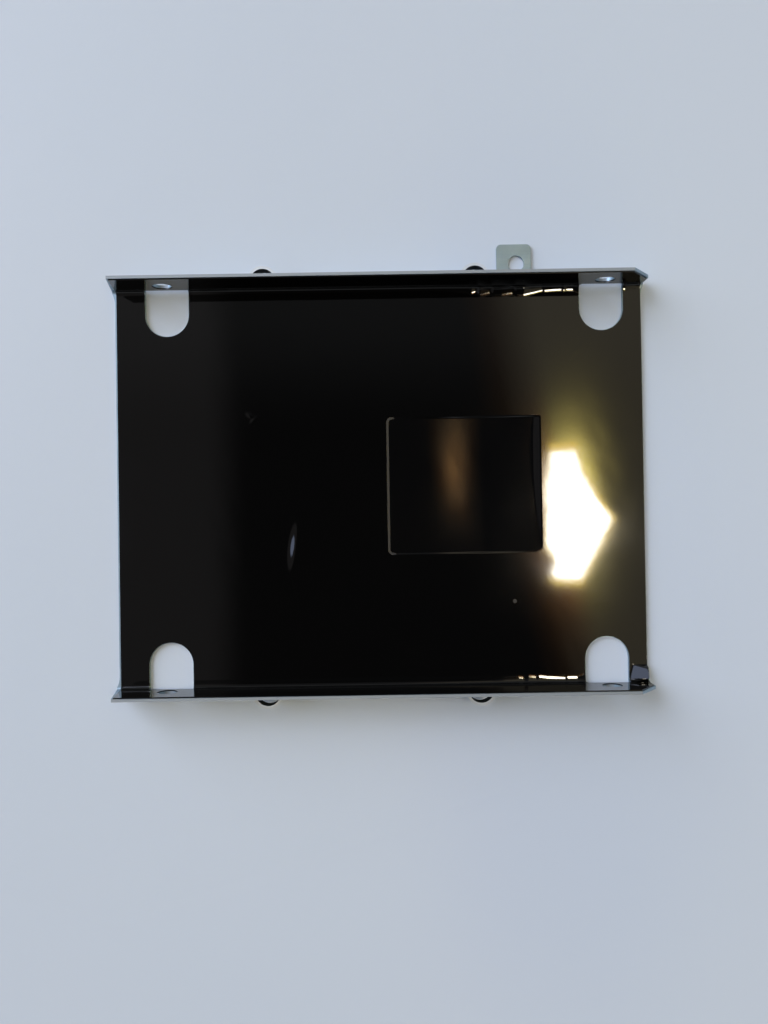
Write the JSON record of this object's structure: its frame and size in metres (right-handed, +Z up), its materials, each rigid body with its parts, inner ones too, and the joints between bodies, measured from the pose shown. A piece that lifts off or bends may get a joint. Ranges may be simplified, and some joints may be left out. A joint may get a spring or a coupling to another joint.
{
  "type": "laptop drive caddy",
  "caption": "Shallow U-shaped sheet-steel tray that holds a laptop drive by its side screws, lined with black insulating film, with lanced side bridges and a flat fixing ear.",
  "frame": {"origin": "midway between the four drive screw holes, on the underside of the tray's floor", "axes": "+X along the drive, away from its connectors; +Y towards the wall with the fixing ear; +Z up, out of the tray"},
  "size_m": [0.0936, 0.0802, 0.0083],
  "materials": {
    "zinc_steel": "zinc-coated cold-rolled sheet, satin",
    "black_film": "glossy black plastic film"
  },
  "bodies": {
    "root": {"tray": "zinc_steel", "insulating_film": "black_film"}
  },
  "joints": []
}
